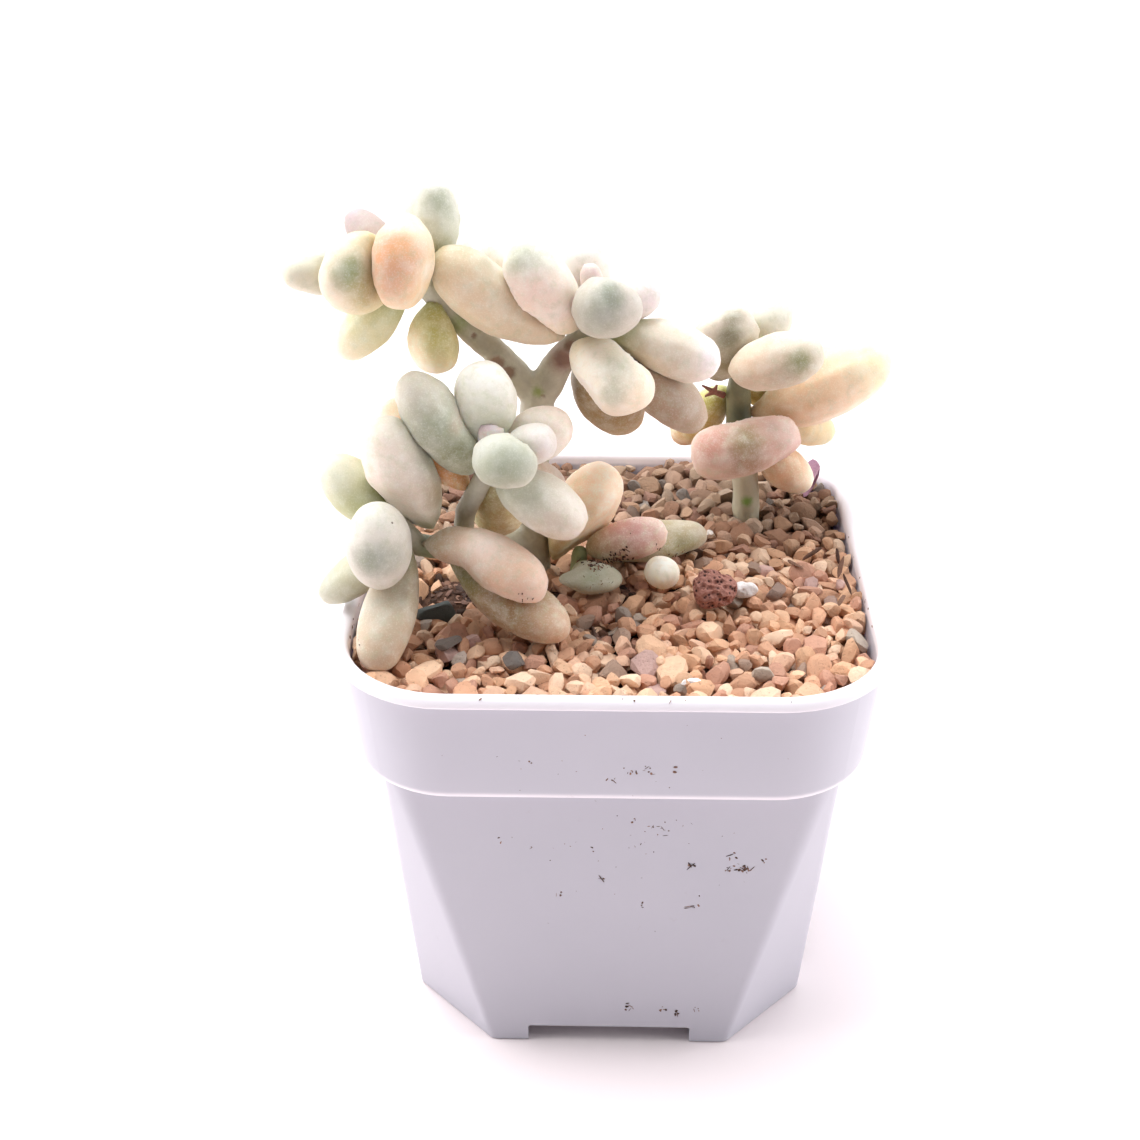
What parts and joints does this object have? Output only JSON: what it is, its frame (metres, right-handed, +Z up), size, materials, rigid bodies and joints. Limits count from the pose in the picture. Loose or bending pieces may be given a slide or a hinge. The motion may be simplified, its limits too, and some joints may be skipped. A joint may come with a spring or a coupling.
{
  "type": "potted graptopetalum",
  "caption": "Variegated graptopetalum with plump pale leaves on bare branching stems, in a square white plastic pot filled with soil and topped with tan gravel.",
  "frame": {"origin": "middle of the pot's footprint, on the surface the pot stands on", "axes": "+Z up; -Y towards the front, where the low branch and its leaves hang over the gravel; +X to the right"},
  "size_m": [0.0776, 0.07, 0.1134],
  "materials": {
    "pot_plastic": "satin",
    "potting_mix": "matte",
    "akadama": "matte",
    "stem_skin": "matte",
    "dry_stalk": "matte",
    "lava_rock": "matte",
    "perlite": "matte",
    "leaf_cream": "satin",
    "leaf_sage": "satin",
    "leaf_peach": "satin",
    "leaf_pink": "satin",
    "leaf_tan": "satin"
  },
  "bodies": {
    "root": {"flower_stub": "dry_stalk", "front_leaf_1": "leaf_sage", "front_leaf_10": "leaf_cream", "front_leaf_2": "leaf_sage", "front_leaf_3": "leaf_pink", "front_leaf_4": "leaf_sage", "front_leaf_5": "leaf_sage", "front_leaf_6": "leaf_sage", "front_leaf_7": "leaf_sage", "front_leaf_8": "leaf_peach", "front_leaf_9": "leaf_pink", "gravel": "akadama", "lava_stone": "lava_rock", "left_leaf_1": "leaf_sage", "left_leaf_2": "leaf_sage", "left_leaf_3": "leaf_sage", "left_leaf_4": "leaf_sage", "left_leaf_5": "leaf_cream", "loose_leaf": "leaf_cream", "low_branch_leaf_1": "leaf_pink", "low_branch_leaf_2": "leaf_tan", "main_stem": "stem_skin", "perlite_grain": "perlite", "pot": "pot_plastic", "potting_mix": "potting_mix", "right_leaf_1": "leaf_sage", "right_leaf_2": "leaf_sage", "right_leaf_3": "leaf_cream", "right_leaf_4": "leaf_cream", "right_leaf_5": "leaf_pink", "right_leaf_6": "leaf_cream", "right_leaf_7": "leaf_cream", "right_leaf_8": "leaf_cream", "right_leaf_9": "leaf_cream", "right_stem": "stem_skin", "sprout_leaf_1": "leaf_pink", "sprout_leaf_2": "leaf_sage", "sprout_leaf_3": "leaf_sage", "sprout_stem": "stem_skin", "trunk_leaf_1": "leaf_peach", "upper_left_leaf_1": "leaf_sage", "upper_left_leaf_2": "leaf_pink", "upper_left_leaf_3": "leaf_cream", "upper_left_leaf_4": "leaf_sage", "upper_left_leaf_5": "leaf_peach", "upper_left_leaf_6": "leaf_cream", "upper_left_leaf_7": "leaf_sage", "upper_left_leaf_8": "leaf_cream", "upper_middle_leaf_1": "leaf_cream", "upper_middle_leaf_10": "leaf_tan", "upper_middle_leaf_11": "leaf_tan", "upper_middle_leaf_2": "leaf_cream", "upper_middle_leaf_3": "leaf_pink", "upper_middle_leaf_4": "leaf_cream", "upper_middle_leaf_5": "leaf_pink", "upper_middle_leaf_6": "leaf_sage", "upper_middle_leaf_7": "leaf_pink", "upper_middle_leaf_8": "leaf_cream", "upper_middle_leaf_9": "leaf_cream"}
  },
  "joints": []
}
